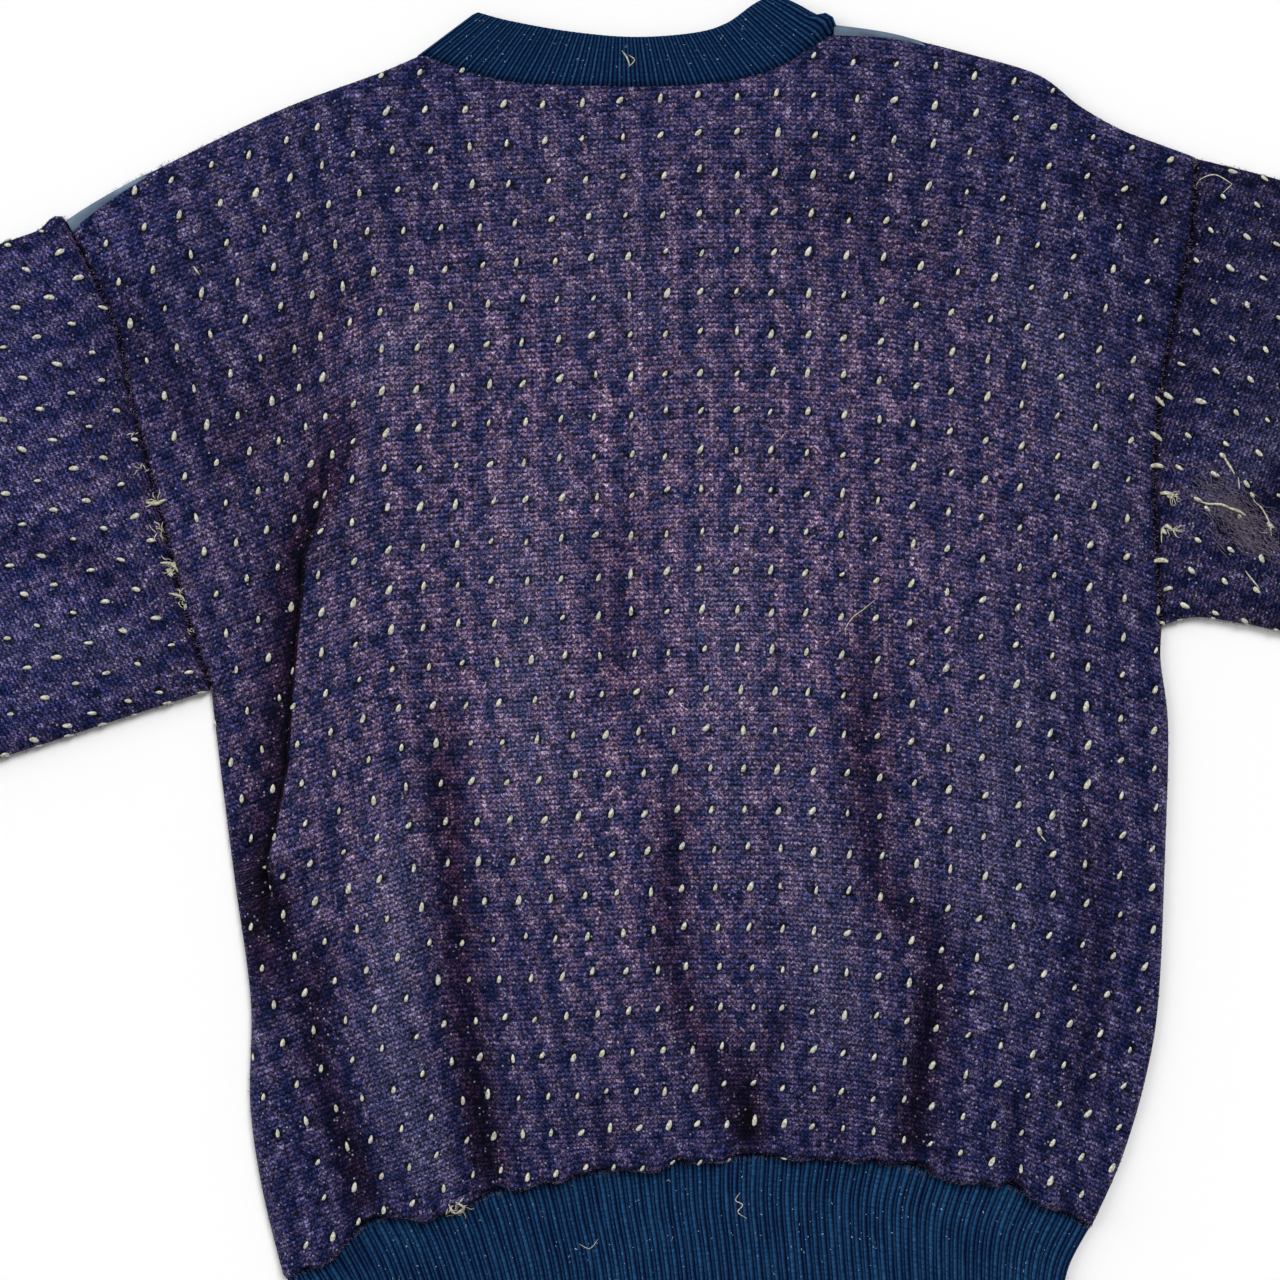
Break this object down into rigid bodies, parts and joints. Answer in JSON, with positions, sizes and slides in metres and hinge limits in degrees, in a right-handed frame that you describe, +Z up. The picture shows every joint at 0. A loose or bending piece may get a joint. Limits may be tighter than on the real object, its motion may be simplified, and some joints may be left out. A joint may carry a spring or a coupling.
{
  "type": "darned wool sweater",
  "caption": "Drop-shouldered crew-neck wool sweater laid flat on its front: flecked jersey back and sleeves, ribbed neckband, cuffs and welt, smooth shoulder yokes.",
  "frame": {"origin": "a point under the middle of the body, on the surface that the sweater rests on", "axes": "+Y up the back towards the neck, +X across the back towards the right sleeve as seen from above, +Z up out of the surface"},
  "size_m": [1.5416, 0.8117, 0.0154],
  "materials": {
    "jersey": "heathered navy and plum jersey with cream flecks",
    "rib": "one by one rib in teal navy wool",
    "yoke": "smooth slate blue leather, soft sheen"
  },
  "bodies": {
    "root": {"back_panel": "jersey", "front_panel": "jersey", "front_yoke_left": "yoke", "front_yoke_right": "yoke", "sleeve_left": "jersey", "sleeve_right": "jersey", "cuff_left": "rib", "cuff_right": "rib", "welt_back": "rib", "welt_front": "rib", "neckband": "rib"}
  },
  "joints": []
}
